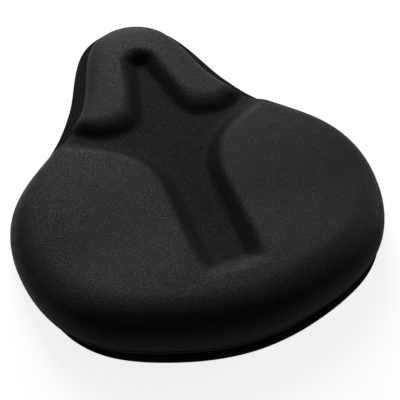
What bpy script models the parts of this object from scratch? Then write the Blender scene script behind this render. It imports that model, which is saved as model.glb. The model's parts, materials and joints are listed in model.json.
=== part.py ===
"""Padded seat cushion that pulls over a bicycle saddle, lying on its hem.

Lengths are in metres. +Y points to the nose, +X to the rider's right and +Z up.
The origin is under the middle of the cushion, on the surface that it lies on.
"""
import bmesh
import bpy
import numpy as np

# Outline of the pad along its seam: seven stations from the nose tip back, each
# with its distance behind the one before it and its half width there
NOSE_CORNER_RUN = 0.0123
NOSE_CORNER_HALF = 0.0302
NOSE_SIDE_RUN = 0.0164
NOSE_SIDE_HALF = 0.0405
WAIST_RUN = 0.0594
WAIST_HALF = 0.0629
SHOULDER_RUN = 0.0196
SHOULDER_HALF = 0.0798
HIP_RUN = 0.0601
HIP_HALF = 0.1349
REAR_CORNER_RUN = 0.1160
REAR_CORNER_HALF = 0.1118
REAR_SIDE_RUN = 0.0256
REAR_SIDE_HALF = 0.0640
REAR_END_RUN = 0.0118

# Sections along the length, measured back from the nose tip
NOSE_SECTION = 0.0123
FLANK_SECTION = 0.0832
WAIST_SECTION = 0.1114
SHOULDER_SECTION = 0.1398
MIDDLE_SECTION = 0.2153

# Height of the seam above the resting surface
SEAM_HEIGHT_NOSE = 0.0096
SEAM_HEIGHT_WAIST = 0.0085
SEAM_HEIGHT_MIDDLE = 0.0078
SEAM_HEIGHT_REAR = 0.0113

# Height of the lobes' tops, and how far in from the seam the side rolls over
TOP_HEIGHT_NOSE = 0.0240
TOP_HEIGHT_WAIST = 0.0270
TOP_HEIGHT_MIDDLE = 0.0320
TOP_HEIGHT_REAR = 0.0450
EDGE_DROP_NOSE = 0.0008
EDGE_DROP_WAIST = 0.0055
EDGE_DROP_MIDDLE = 0.0030
EDGE_DROP_REAR = 0.0008
ROLL_WIDTH_NOSE = 0.0200
ROLL_WIDTH_FLANK = 0.0110
ROLL_WIDTH_SHOULDER = 0.0170
ROLL_WIDTH_MIDDLE = 0.0260
ROLL_WIDTH_REAR = 0.0260
ROLL_SOFTNESS_NOSE = 1.0
ROLL_SOFTNESS_FLANK = 1.25
ROLL_SOFTNESS_SHOULDER = 1.25
ROLL_SOFTNESS_MIDDLE = 0.9
ROLL_SOFTNESS_REAR = 0.9
SEAM_PINCH = 0.0015

# How far the stretch band stands out past the seam, negative where it tucks under
BAND_REACH_NOSE = 0.0090
BAND_REACH_FLANK = 0.0115
BAND_REACH_SHOULDER = 0.0010
BAND_REACH_MIDDLE = -0.0070
BAND_REACH_REAR = 0.0032

# How far in from the seam the band's hem lies underneath
HEM_INSET_NOSE = 0.0180
HEM_INSET_WAIST = 0.0240
HEM_INSET_MIDDLE = 0.0420
HEM_INSET_REAR = 0.0380

# Moulded relief: the sunk floor between two seat lobes and a horseshoe nose lobe
FLOOR_DEPTH_NOSE = 0.0095
FLOOR_DEPTH_SHOULDER = 0.0085
FLOOR_DEPTH_REAR = 0.0095
SEAT_WALL_WIDTH = 0.0145
SEAT_WALL_POWER = 2.4
SEAT_FOOT_SOFTNESS = 0.15
NOSE_WALL_WIDTH = 0.0145
CHANNEL_HALF = 0.0150
CHANNEL_END = 0.0520
FORWARD_EASE = 1.15
CHANNEL_CORNER = 0.0080
LOBE_FRONT = 0.1240
LOBE_FLARE_RUN = 0.0810
LOBE_FLARE = 0.0550
LOBE_FLARE_POWER = 3.0
GROOVE_APEX = 0.0515
GROOVE_TIP_RADIUS = 0.0038
GROOVE_END_RADIUS = 0.0165
GROOVE_RUN = 0.0700
NOSE_LOBE_REAR = 0.1250
NOSE_LOBE_STRAIGHT = 0.0420
NOSE_LOBE_SWEEP = 0.0250
NOSE_LOBE_RISE = 0.0120
NOSE_LOBE_CORNER = 0.0110
NOSE_LOBE_EASE = 1.35

# Layers
CLEARANCE = 0.0003
SKIN_THICKNESS = 0.0012
LINING_THICKNESS = 0.0010
LINING_DROP = 0.00035
SADDLE_RECESS_HEIGHT = 0.0120
SADDLE_RECESS_EDGE = 0.4
PIPING_DIAMETER = 0.0018
BAND_THICKNESS = 0.0012
BAND_LIP = 0.0008
BAND_CENTRE_SHIFT = 0.0006
BAND_WIDEST_SHARE = 0.3
BAND_UNDER_ROUND = 0.0025
ELASTIC_WIDTH = 0.0050
ELASTIC_HEIGHT = 0.0024

# Two pairs of hook-and-loop straps across the saddle opening
FRONT_STRAP_Y = 0.0620
REAR_STRAP_Y = -0.0600
FRONT_STRAP_WIDTH = 0.0200
REAR_STRAP_WIDTH = 0.0250
STRAP_THICKNESS = 0.0010
STRAP_OVERLAP = 0.0400
STRAP_SEWN_LENGTH = 0.0100
STRAP_BEND = 0.0030
PATCH_THICKNESS = 0.0008
PATCH_MARGIN = 0.0020

# Mesh steps
OUTLINE_STEPS = (4, 3, 8, 5, 9, 10, 5, 4)
SPINE_LEAN = 2 / 3
SPINE_FRONT = 0.0200
SPINE_REAR = 0.0220
ROLL_ANGLES = (0, 22, 38, 54, 71, 90)
INNER_SHARES = (0.15, 0.31, 0.46, 0.59, 0.70, 0.79, 0.835, 0.88, 0.93)
BASE_SHARES = (0.12, 0.27, 0.55)
BAND_STEPS = 3
PIPING_RESOLUTION = 1

# Colour, roughness and metallic value of each material
KNIT_FINISH = ((0.028, 0.028, 0.030), 0.92, 0.0)
FOAM_FINISH = ((0.55, 0.53, 0.48), 0.95, 0.0)
LINING_FINISH = ((0.035, 0.035, 0.037), 0.80, 0.0)
PIPING_FINISH = ((0.050, 0.050, 0.052), 0.75, 0.0)
RIB_FINISH = ((0.040, 0.040, 0.042), 0.88, 0.0)
ELASTIC_FINISH = ((0.022, 0.022, 0.024), 0.70, 0.0)
STRAP_FINISH = ((0.020, 0.020, 0.022), 0.75, 0.0)
HOOK_FINISH = ((0.012, 0.012, 0.013), 0.55, 0.0)
LOOP_FINISH = ((0.030, 0.030, 0.032), 0.95, 0.0)

STATIONS = (
    (NOSE_CORNER_RUN, NOSE_CORNER_HALF),
    (NOSE_SIDE_RUN, NOSE_SIDE_HALF),
    (WAIST_RUN, WAIST_HALF),
    (SHOULDER_RUN, SHOULDER_HALF),
    (HIP_RUN, HIP_HALF),
    (REAR_CORNER_RUN, REAR_CORNER_HALF),
    (REAR_SIDE_RUN, REAR_SIDE_HALF),
)
PAD_LENGTH = sum(run for run, half in STATIONS) + REAR_END_RUN
NOSE_TIP_Y = (PAD_LENGTH + BAND_REACH_REAR - BAND_REACH_NOSE) / 2
REAR_END_Y = NOSE_TIP_Y - PAD_LENGTH


def clear_scene():
    """Remove every object that the scene holds."""
    for item in list(bpy.data.objects):
        bpy.data.objects.remove(item, do_unlink=True)


def make_material(name, finish):
    """Make one Principled material from a colour, a roughness and a metallic value."""
    colour, roughness, metallic = finish
    material = bpy.data.materials.new(name)
    material.use_nodes = True
    shader = material.node_tree.nodes["Principled BSDF"]
    shader.inputs["Base Color"].default_value = (*colour, 1.0)
    shader.inputs["Roughness"].default_value = roughness
    shader.inputs["Metallic"].default_value = metallic
    material.diffuse_color = (*colour, 1.0)
    return material


def add_object(name, data, material):
    """Put a mesh or a curve into the scene under its name and material."""
    item = bpy.data.objects.new(name, data)
    item.data.materials.append(material)
    bpy.context.scene.collection.objects.link(item)
    return item


def closed_spline(points, steps):
    """Points along the smooth closed curve through the given points."""
    count = len(points)
    chords = [np.linalg.norm(points[(i + 1) % count] - points[i]) for i in range(count)]
    matrix = np.zeros((count, count))
    right_side = np.zeros((count, 2))
    for i in range(count):
        before, after = chords[i - 1], chords[i]
        ahead = (i + 1) % count
        matrix[i, i - 1] += after
        matrix[i, i] += 2 * (before + after)
        matrix[i, ahead] += before
        rise_after = before * (points[ahead] - points[i]) / after
        rise_before = after * (points[i] - points[i - 1]) / before
        right_side[i] = 3 * (rise_after + rise_before)
    slopes = np.linalg.solve(matrix, right_side)
    curve = []
    for i in range(count):
        ahead = (i + 1) % count
        for step in range(steps[i]):
            t = step / steps[i]
            curve.append(
                (2 * t**3 - 3 * t**2 + 1) * points[i]
                + (t**3 - 2 * t**2 + t) * chords[i] * slopes[i]
                + (3 * t**2 - 2 * t**3) * points[ahead]
                + (t**3 - t**2) * chords[i] * slopes[ahead]
            )
    return np.array(curve)


def pad_outline():
    """The seam line in plan, clockwise from the nose tip, with its outward normals."""
    y = NOSE_TIP_Y
    right = []
    for run, half in STATIONS:
        y -= run
        right.append((half, y))
    left = [(-x, y) for x, y in reversed(right)]
    points = np.array([(0.0, NOSE_TIP_Y)] + right + [(0.0, REAR_END_Y)] + left)
    curve = closed_spline(points, OUTLINE_STEPS + OUTLINE_STEPS[::-1])
    tangent = np.roll(curve, -1, axis=0) - np.roll(curve, 1, axis=0)
    normal = np.column_stack((-tangent[:, 1], tangent[:, 0]))
    normal /= np.linalg.norm(normal, axis=1)[:, None]
    return curve, normal


def smooth_step(value):
    """Ease from 0 to 1 as the value goes from 0 to 1."""
    value = np.clip(value, 0.0, 1.0)
    return value * value * (3 - 2 * value)


def smooth_max(first, second, radius):
    """The larger of two distances, with the corner between them rounded."""
    return (first + second + np.sqrt((first - second) ** 2 + radius**2)) / 2


def along(y, sections):
    """Ease between values given at distances back from the nose tip."""
    back = NOSE_TIP_Y - np.asarray(y)
    places = [place for place, value in sections]
    values = [value for place, value in sections]
    result = np.full(back.shape, float(values[0]))
    for start, end, first, last in zip(places, places[1:], values, values[1:]):
        share = smooth_step((back - start) / (end - start))
        result = result + (last - first) * share
    return result


def seam_height(y):
    """Height of the seam."""
    return along(y, (
        (NOSE_SECTION, SEAM_HEIGHT_NOSE),
        (WAIST_SECTION, SEAM_HEIGHT_WAIST),
        (MIDDLE_SECTION, SEAM_HEIGHT_MIDDLE),
        (PAD_LENGTH, SEAM_HEIGHT_REAR),
    ))


def lobe_height(y):
    """Height of the lobes' tops."""
    return along(y, (
        (NOSE_SECTION, TOP_HEIGHT_NOSE),
        (WAIST_SECTION, TOP_HEIGHT_WAIST),
        (MIDDLE_SECTION, TOP_HEIGHT_MIDDLE),
        (PAD_LENGTH, TOP_HEIGHT_REAR),
    ))


def edge_drop(y):
    """How much lower the lobes' tops are at the rim than inside."""
    return along(y, (
        (NOSE_SECTION, EDGE_DROP_NOSE),
        (WAIST_SECTION, EDGE_DROP_WAIST),
        (MIDDLE_SECTION, EDGE_DROP_MIDDLE),
        (PAD_LENGTH, EDGE_DROP_REAR),
    ))


def roll_width(y):
    """Width over which the side rolls into the top."""
    return along(y, (
        (NOSE_SECTION, ROLL_WIDTH_NOSE),
        (FLANK_SECTION, ROLL_WIDTH_FLANK),
        (SHOULDER_SECTION, ROLL_WIDTH_SHOULDER),
        (MIDDLE_SECTION, ROLL_WIDTH_MIDDLE),
        (PAD_LENGTH, ROLL_WIDTH_REAR),
    ))


def roll_softness(y):
    """How gently the side rolls over: 1 is a quarter ellipse, more is flatter."""
    return along(y, (
        (NOSE_SECTION, ROLL_SOFTNESS_NOSE),
        (FLANK_SECTION, ROLL_SOFTNESS_FLANK),
        (SHOULDER_SECTION, ROLL_SOFTNESS_SHOULDER),
        (MIDDLE_SECTION, ROLL_SOFTNESS_MIDDLE),
        (PAD_LENGTH, ROLL_SOFTNESS_REAR),
    ))


def floor_depth(y):
    """Depth of the sunk floor below the lobes' tops."""
    return along(y, (
        (NOSE_SECTION, FLOOR_DEPTH_NOSE),
        (SHOULDER_SECTION, FLOOR_DEPTH_SHOULDER),
        (PAD_LENGTH, FLOOR_DEPTH_REAR),
    ))


def band_reach(y):
    """How far the stretch band stands out past the seam."""
    return along(y, (
        (NOSE_SECTION, BAND_REACH_NOSE),
        (FLANK_SECTION, BAND_REACH_FLANK),
        (SHOULDER_SECTION, BAND_REACH_SHOULDER),
        (MIDDLE_SECTION, BAND_REACH_MIDDLE),
        (PAD_LENGTH, BAND_REACH_REAR),
    ))


def hem_inset(y):
    """How far in from the seam the band's hem lies."""
    return along(y, (
        (NOSE_SECTION, HEM_INSET_NOSE),
        (WAIST_SECTION, HEM_INSET_WAIST),
        (MIDDLE_SECTION, HEM_INSET_MIDDLE),
        (PAD_LENGTH, HEM_INSET_REAR),
    ))


def seat_lobe_distance(x, y):
    """Distance from the seat lobes' inner edge, positive on the lobes."""
    side = np.abs(x)
    lobe_front_y = NOSE_TIP_Y - LOBE_FRONT
    flare = np.clip((y - lobe_front_y) / LOBE_FLARE_RUN + 1, 0, None)
    edge = CHANNEL_HALF + LOBE_FLARE * flare**LOBE_FLARE_POWER
    slope = LOBE_FLARE * LOBE_FLARE_POWER * flare ** (LOBE_FLARE_POWER - 1) / LOBE_FLARE_RUN
    forward = slope / np.sqrt(1 + slope**2)
    from_side = (side - edge) / np.sqrt(1 + slope**2) / (1 + (FORWARD_EASE - 1) * forward)
    from_end = (REAR_END_Y + CHANNEL_END - y) / FORWARD_EASE
    return smooth_max(from_side, from_end, CHANNEL_CORNER)


def nose_lobe_distance(x, y):
    """Distance from the nose lobe's inner and rear edges, positive on the lobe."""
    side = np.abs(x)
    past_tip = NOSE_TIP_Y - GROOVE_APEX - GROOVE_TIP_RADIUS - y
    flare = (GROOVE_END_RADIUS - GROOVE_TIP_RADIUS) / GROOVE_RUN
    upright = np.sqrt(1 - flare**2)
    ahead = np.hypot(side, past_tip)
    beside = side * upright - past_tip * flare
    from_groove = np.where(past_tip * upright + side * flare < 0, ahead, beside) - GROOVE_TIP_RADIUS
    sweep = np.clip((side - NOSE_LOBE_STRAIGHT) / NOSE_LOBE_SWEEP, 0, None)
    from_rear = (y - NOSE_TIP_Y + NOSE_LOBE_REAR - NOSE_LOBE_RISE * sweep**2) / NOSE_LOBE_EASE
    return -smooth_max(-from_groove, -from_rear, NOSE_LOBE_CORNER)


def top_height(x, y):
    """Height of the moulded top, with the floor sunk between the lobes."""
    climbed = smooth_max(seat_lobe_distance(x, y) / SEAT_WALL_WIDTH, 0.0, SEAT_FOOT_SOFTNESS)
    below_seat = np.clip(1 - climbed, 0, 1) ** SEAT_WALL_POWER
    below_nose = 1 - smooth_step(nose_lobe_distance(x, y) / NOSE_WALL_WIDTH)
    return lobe_height(y) - floor_depth(y) * below_seat * below_nose


def spine_points(outline, rim):
    """The point on the middle line that each outline point's spoke runs back to."""
    share = np.clip((NOSE_TIP_Y - outline[:, 1]) / PAD_LENGTH, 0, 1) ** SPINE_LEAN
    front = rim[:, 1].max() - SPINE_FRONT
    rear = rim[:, 1].min() + SPINE_REAR
    return np.column_stack((np.zeros(len(outline)), front + (rear - front) * share))


def rings_of_top(outline, normal):
    """Rings of points from the seam up the rolled side and in to the spine."""
    y = outline[:, 1]
    low = seam_height(y)
    width = roll_width(y)
    rim = outline - normal * width[:, None]
    drop = edge_drop(y)
    softness = roll_softness(y)
    high = top_height(rim[:, 0], rim[:, 1]) - drop
    rings = []
    for angle in np.radians(ROLL_ANGLES):
        inward = width * (1 - max(np.cos(angle), 0.0) ** softness)
        if angle == 0:
            inward = np.full(len(y), SEAM_PINCH)
        plan = outline - normal * inward[:, None]
        height = low + (high - low) * np.sin(angle) ** softness
        rings.append(np.column_stack((plan, height)))
    spine = spine_points(outline, rim)
    for share in INNER_SHARES + (1.0,):
        plan = rim * (1 - share) + spine * share
        height = top_height(plan[:, 0], plan[:, 1]) - drop * (1 - share) ** 2
        rings.append(np.column_stack((plan, height)))
    return rings


def add_rings(build, rings, close_on_spine):
    """Lay triangles between rings of points, the last ring folded onto the spine if asked."""
    count = len(rings[0])
    rows = []
    for number, ring in enumerate(rings):
        if close_on_spine and number == len(rings) - 1:
            half = [build.verts.new(ring[i]) for i in range(count // 2 + 1)]
            rows.append([half[min(i, count - i)] for i in range(count)])
        else:
            rows.append([build.verts.new(point) for point in ring])
    for outer, inner in zip(rows, rows[1:]):
        for i in range(count):
            ahead = (i + 1) % count
            near, far = (i, ahead) if 0 < i < count // 2 or ahead == 0 else (ahead, i)
            build.faces.new((outer[near], inner[far], outer[far]))
            build.faces.new((outer[near], inner[near], inner[far]))
    return rows


def mesh_from(build, name, smooth_angle=40):
    """Turn the built faces into a smooth shaded mesh with its normals facing out."""
    bmesh.ops.recalc_face_normals(build, faces=build.faces)
    mesh = bpy.data.meshes.new(name)
    build.to_mesh(mesh)
    build.free()
    mesh.shade_smooth()
    mesh.set_sharp_from_angle(angle=np.radians(smooth_angle))
    return mesh


def sheet_mesh(name, rings, close_on_spine, facing):
    """An open sheet through the rings, with its faces turned towards +Z or -Z."""
    build = bmesh.new()
    add_rings(build, rings, close_on_spine)
    bmesh.ops.recalc_face_normals(build, faces=build.faces)
    total = sum(face.normal.z * face.calc_area() for face in build.faces)
    if total * facing < 0:
        bmesh.ops.reverse_faces(build, faces=build.faces)
    mesh = bpy.data.meshes.new(name)
    build.to_mesh(mesh)
    build.free()
    mesh.shade_smooth()
    return mesh


def thicken(item, thickness):
    """Give a sheet its thickness on the side that its faces turn away from."""
    solidify = item.modifiers.new("thickness", "SOLIDIFY")
    solidify.thickness = thickness
    solidify.offset = -1


def make_top_cover(rings):
    """Knit skin over the moulded top and sides."""
    mesh = sheet_mesh("top_cover", rings, True, 1)
    item = add_object("top_cover", mesh, make_material("knit", KNIT_FINISH))
    thicken(item, SKIN_THICKNESS)
    return item


def rings_under_skin(rings):
    """The top's rings moved in through the skin by its thickness and a clearance."""
    mesh = sheet_mesh("skin_guide", rings, True, 1)
    normals = np.array([tuple(entry.vector) for entry in mesh.vertex_normals])
    count = len(rings[0])
    inner = []
    for number, ring in enumerate(rings):
        first = number * count
        if number == len(rings) - 1:
            index = [first + min(i, count - i) for i in range(count)]
        else:
            index = list(range(first, first + count))
        inner.append(ring - normals[index] * (SKIN_THICKNESS + CLEARANCE))
    bpy.data.meshes.remove(mesh)
    return inner


def rings_of_base(edge, spine):
    """Rings of the pad's underside, from its edge up into the saddle recess."""
    rings = [edge]
    for share in BASE_SHARES + (1.0,):
        plan = edge[:, :2] * (1 - share) + spine[:, :2] * share
        lift = smooth_step(share / SADDLE_RECESS_EDGE)
        height = edge[:, 2] + (SADDLE_RECESS_HEIGHT - edge[:, 2]) * lift
        rings.append(np.column_stack((plan, height)))
    return rings


def make_foam_core(top_rings, base_rings):
    """Moulded foam that fills the skin down to the lining."""
    build = bmesh.new()
    rows = add_rings(build, top_rings, True)
    edge = rows[0]
    count = len(edge)
    below = add_rings(build, base_rings[1:], True)
    for i in range(count):
        ahead = (i + 1) % count
        build.faces.new([edge[i], edge[ahead], below[0][ahead], below[0][i]])
    mesh = mesh_from(build, "foam_core")
    return add_object("foam_core", mesh, make_material("foam", FOAM_FINISH))


def make_base_lining(base_rings):
    """Lining that closes the pad underneath and grips the saddle."""
    lowered = [ring - np.array((0.0, 0.0, LINING_DROP)) for ring in base_rings]
    mesh = sheet_mesh("base_lining", lowered, True, -1)
    item = add_object("base_lining", mesh, make_material("lining", LINING_FINISH))
    item.data.flip_normals()
    thicken(item, LINING_THICKNESS)
    return item


def make_seam_piping(outline, normal):
    """Thin corded piping sewn into the seam."""
    curve = bpy.data.curves.new("seam_piping", "CURVE")
    curve.dimensions = "3D"
    curve.bevel_depth = PIPING_DIAMETER / 2
    curve.bevel_resolution = PIPING_RESOLUTION
    curve.use_fill_caps = True
    plan = outline - normal * SEAM_PINCH
    height = seam_height(outline[:, 1]) - CLEARANCE - PIPING_DIAMETER / 2
    spline = curve.splines.new("POLY")
    spline.points.add(len(plan) - 1)
    for point, (x, y), z in zip(spline.points, plan, height):
        point.co = (x, y, z, 1.0)
    spline.use_cyclic_u = True
    return add_object("seam_piping", curve, make_material("piping", PIPING_FINISH))


def quarter_turn(start, end, upright_first):
    """Points of a quarter ellipse from one place to another, without the first."""
    points = []
    for step in range(1, BAND_STEPS + 1):
        angle = np.pi / 2 * step / BAND_STEPS
        slow, fast = 1 - np.cos(angle), np.sin(angle)
        across, down = (slow, fast) if upright_first else (fast, slow)
        reach = start[0] + (end[0] - start[0]) * across
        height = start[1] + (end[1] - start[1]) * down
        points.append((reach, height))
    return points


def band_profile(y):
    """Reach past the seam and height of each ring of the band's outer face."""
    seam = seam_height(y)
    reach = band_reach(y)
    start = -SEAM_PINCH + BAND_CENTRE_SHIFT
    top = seam - PIPING_DIAMETER - 2 * CLEARANCE
    lip = (start + 0 * y, top - BAND_LIP)
    widest = (reach, seam * BAND_WIDEST_SHARE)
    under = (reach - BAND_UNDER_ROUND, 0 * y)
    profile = [(start + 0 * y, top), lip]
    profile += quarter_turn(lip, widest, False)
    profile += quarter_turn(widest, under, True)
    profile.append((-hem_inset(y), 0 * y))
    return profile


def make_side_band(outline, normal):
    """Ribbed stretch band that stands out below the seam and turns in underneath."""
    rings = []
    for reach, height in band_profile(outline[:, 1]):
        plan = outline + normal * reach[:, None]
        rings.append(np.column_stack((plan, height)))
    mesh = sheet_mesh("side_band", rings, False, -1)
    item = add_object("side_band", mesh, make_material("rib_knit", RIB_FINISH))
    thicken(item, BAND_THICKNESS)
    return item


def hem_ring(outline, normal, extra):
    """Points that lie a stated way further in than the band's hem."""
    inset = hem_inset(outline[:, 1]) + extra
    return outline - normal * inset[:, None]


def make_hem_elastic(outline, normal):
    """Flat elastic round the saddle opening, sewn to the band's inner edge."""
    outer = hem_ring(outline, normal, CLEARANCE)
    inner = hem_ring(outline, normal, CLEARANCE + ELASTIC_WIDTH)
    build = bmesh.new()
    loops = []
    corners = ((outer, 0.0), (inner, 0.0), (inner, ELASTIC_HEIGHT), (outer, ELASTIC_HEIGHT))
    for plan, height in corners:
        loops.append([build.verts.new((x, y, height)) for x, y in plan])
    count = len(outline)
    for number, loop in enumerate(loops):
        following = loops[(number + 1) % len(loops)]
        for i in range(count):
            ahead = (i + 1) % count
            build.faces.new([loop[i], loop[ahead], following[ahead], following[i]])
    mesh = mesh_from(build, "hem_elastic")
    return add_object("hem_elastic", mesh, make_material("elastic", ELASTIC_FINISH))


def opening_half_width(outline, normal, y):
    """Half width of the saddle opening inside the elastic at one place."""
    inner = hem_ring(outline, normal, CLEARANCE + ELASTIC_WIDTH)
    right = inner[: len(inner) // 2 + 1]
    return float(np.interp(y, right[::-1, 1], right[::-1, 0]))


def extruded_profile(name, profile, y, width, material):
    """A closed profile in X and Z, extruded across a strap's width."""
    build = bmesh.new()
    corners = [build.verts.new((x, y - width / 2, z)) for x, z in profile]
    face = build.faces.new(corners)
    pulled = bmesh.ops.extrude_face_region(build, geom=[face])
    moved = [part for part in pulled["geom"] if isinstance(part, bmesh.types.BMVert)]
    bmesh.ops.translate(build, verts=moved, vec=(0.0, width, 0.0))
    return add_object(name, mesh_from(build, name), material)


def strap_profile(centre_line):
    """A strap's closed profile from the line that its lower face follows."""
    upper = [(x, z + STRAP_THICKNESS) for x, z in reversed(centre_line)]
    return list(centre_line) + upper


def make_strap_pair(label, y, width, half_opening):
    """Two strap halves sewn to the elastic, closed over each other in the middle."""
    rest = ELASTIC_HEIGHT + CLEARANCE
    loop_level = rest + STRAP_THICKNESS + CLEARANCE
    hook_level = loop_level + PATCH_THICKNESS + CLEARANCE
    upper_level = hook_level + PATCH_THICKNESS + CLEARANCE
    end = STRAP_OVERLAP / 2
    sewn = half_opening + STRAP_SEWN_LENGTH
    webbing = bpy.data.materials.get("webbing") or make_material("webbing", STRAP_FINISH)
    lower_line = [(-sewn, rest), (end, rest)]
    upper_line = [
        (-end, upper_level),
        (end + STRAP_BEND, upper_level),
        (half_opening - STRAP_BEND, rest),
        (sewn, rest),
    ]
    extruded_profile(label + "_strap_left", strap_profile(lower_line), y, width, webbing)
    extruded_profile(label + "_strap_right", strap_profile(upper_line), y, width, webbing)
    patch_half = end - PATCH_MARGIN
    patch_width = width - 2 * PATCH_MARGIN
    patches = (("_loop_patch", loop_level, LOOP_FINISH), ("_hook_patch", hook_level, HOOK_FINISH))
    for suffix, level, finish in patches:
        upper = level + PATCH_THICKNESS
        outline = [(-patch_half, level), (patch_half, level), (patch_half, upper), (-patch_half, upper)]
        material = make_material(label + suffix, finish)
        extruded_profile(label + suffix, outline, y, patch_width, material)


def main():
    """Build the cushion from its skin inwards and then down to the straps."""
    clear_scene()
    outline, normal = pad_outline()
    top_rings = rings_of_top(outline, normal)
    foam_rings = rings_under_skin(top_rings)
    base_rings = rings_of_base(foam_rings[0], foam_rings[-1])
    make_top_cover(top_rings)
    make_foam_core(foam_rings, base_rings)
    make_base_lining(base_rings)
    make_seam_piping(outline, normal)
    make_side_band(outline, normal)
    make_hem_elastic(outline, normal)
    front_half = opening_half_width(outline, normal, FRONT_STRAP_Y)
    rear_half = opening_half_width(outline, normal, REAR_STRAP_Y)
    make_strap_pair("front", FRONT_STRAP_Y, FRONT_STRAP_WIDTH, front_half)
    make_strap_pair("rear", REAR_STRAP_Y, REAR_STRAP_WIDTH, rear_half)


main()
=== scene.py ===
"""Padded seat cushion for a bicycle saddle, dressed in its fabrics on a pale studio floor.

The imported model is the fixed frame. Each sub-assembly of the cushion is a class that
builds its pieces round it, in metres: +Y to the nose, +X to the rider's right and +Z up.
"""

import json
import logging
import math
from dataclasses import dataclass
from enum import Enum
from functools import cached_property

import bmesh
import bpy
import numpy as np
from mathutils import Matrix, Vector

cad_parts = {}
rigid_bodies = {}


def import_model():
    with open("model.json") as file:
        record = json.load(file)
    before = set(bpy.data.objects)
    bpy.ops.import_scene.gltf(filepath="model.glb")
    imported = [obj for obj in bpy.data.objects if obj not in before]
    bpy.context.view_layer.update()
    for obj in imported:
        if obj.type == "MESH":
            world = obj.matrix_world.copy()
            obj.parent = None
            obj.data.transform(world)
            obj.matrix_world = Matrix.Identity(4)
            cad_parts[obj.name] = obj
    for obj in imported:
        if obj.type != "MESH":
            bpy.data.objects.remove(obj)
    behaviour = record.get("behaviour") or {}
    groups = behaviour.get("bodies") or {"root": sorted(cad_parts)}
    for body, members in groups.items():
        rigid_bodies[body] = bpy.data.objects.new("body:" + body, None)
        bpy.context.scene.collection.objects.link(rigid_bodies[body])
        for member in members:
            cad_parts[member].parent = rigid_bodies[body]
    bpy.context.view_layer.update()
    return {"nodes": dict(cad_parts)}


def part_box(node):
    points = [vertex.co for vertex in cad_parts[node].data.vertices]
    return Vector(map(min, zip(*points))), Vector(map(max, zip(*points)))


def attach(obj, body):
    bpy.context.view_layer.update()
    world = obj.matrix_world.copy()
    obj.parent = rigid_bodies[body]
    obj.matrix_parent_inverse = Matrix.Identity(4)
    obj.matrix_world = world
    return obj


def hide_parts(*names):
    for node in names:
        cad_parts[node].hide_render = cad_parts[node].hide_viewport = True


LOG = logging.getLogger("seat_cushion")
BODY = "root"
WELD_DISTANCE = 1e-6

Pair = tuple[float, float]
Triple = tuple[float, float, float]
Mesh = bpy.types.Mesh
Socket = bpy.types.NodeSocket


class Section(Enum):
    """Places along the pad, measured back from the nose tip."""

    NOSE = 0.0123
    FLANK = 0.0832
    WAIST = 0.1114
    SHOULDER = 0.1398
    MIDDLE = 0.2153
    REAR = 0.3212


class StrapHalf(Enum):
    """The two halves of a strap, named by the side that they are sewn to."""

    LEFT = -1
    RIGHT = 1


def smooth_step(value: np.ndarray) -> np.ndarray:
    """Ease from 0 to 1 as the value goes from 0 to 1, and hold there outside."""
    value = np.clip(value, 0.0, 1.0)
    return value * value * (3 - 2 * value)


def smooth_max(first: np.ndarray, second: np.ndarray, radius: float) -> np.ndarray:
    """The larger of two distances, with the corner between them rounded over a radius."""
    return (first + second + np.sqrt((first - second) ** 2 + radius**2)) / 2


def boxed(value: float, power: float) -> float:
    """A sine or cosine pushed outward by a power below 1, which squares a round section."""
    return math.copysign(abs(value) ** power, value)


def closed_spline(points: np.ndarray, steps: tuple[int, ...]) -> np.ndarray:
    """Points along the smooth closed curve through the given points.

    Args:
        points: Corner points of the curve in plan.
        steps: How many points each span gives.

    Returns:
        The curve's points, without a repeat of the first one.
    """
    count = len(points)
    chords = np.linalg.norm(np.roll(points, -1, axis=0) - points, axis=1)
    matrix = np.zeros((count, count))
    right_side = np.zeros((count, 2))
    for i in range(count):
        before, after = chords[i - 1], chords[i]
        ahead = (i + 1) % count
        matrix[i, i - 1] += after
        matrix[i, i] += 2 * (before + after)
        matrix[i, ahead] += before
        rise_after = before * (points[ahead] - points[i]) / after
        rise_before = after * (points[i] - points[i - 1]) / before
        right_side[i] = 3 * (rise_after + rise_before)
    slopes = np.linalg.solve(matrix, right_side)
    curve = []
    for i in range(count):
        ahead = (i + 1) % count
        t = (np.arange(steps[i]) / steps[i])[:, None]
        curve.append(
            (2 * t**3 - 3 * t**2 + 1) * points[i]
            + (t**3 - 2 * t**2 + t) * chords[i] * slopes[i]
            + (3 * t**2 - 2 * t**3) * points[ahead]
            + (t**3 - t**2) * chords[i] * slopes[ahead]
        )
    return np.concatenate(curve)


@dataclass(frozen=True)
class Taper:
    """A size that eases between its values at sections of the pad."""

    values: tuple[tuple[Section, float], ...]
    flowing: bool = False

    def slopes(self) -> list[float]:
        """How fast the size changes at each section: level there, or flowing through it.

        Returns:
            One slope for each section.
        """
        result = [0.0] * len(self.values)
        if self.flowing:
            places = [section.value for section, _ in self.values]
            sizes = [size for _, size in self.values]
            rises = np.diff(sizes) / np.diff(places)
            for i, (before, after) in enumerate(zip(rises, rises[1:]), start=1):
                if before * after > 0:
                    result[i] = 2 * before * after / (before + after)
        return result

    def at(self, back: np.ndarray) -> np.ndarray:
        """The size at distances back from the nose tip.

        Args:
            back: Distances back from the nose tip.

        Returns:
            One size for each distance.
        """
        result = np.full(np.shape(back), self.values[0][1])
        slopes = self.slopes()
        for i, ((start, first), (end, last)) in enumerate(zip(self.values, self.values[1:])):
            run = end.value - start.value
            share = np.clip((back - start.value) / run, 0.0, 1.0)
            leaving = slopes[i] * run * share * (1 - share) ** 2
            arriving = slopes[i + 1] * run * share**2 * (1 - share)
            result = result + (last - first) * smooth_step(share) + leaving - arriving
        return result


def taper(flowing: bool = False, **sizes: float) -> Taper:
    """A taper from the sizes at sections, each under its section's name."""
    return Taper(tuple((Section[name], size) for name, size in sizes.items()), flowing)


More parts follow.
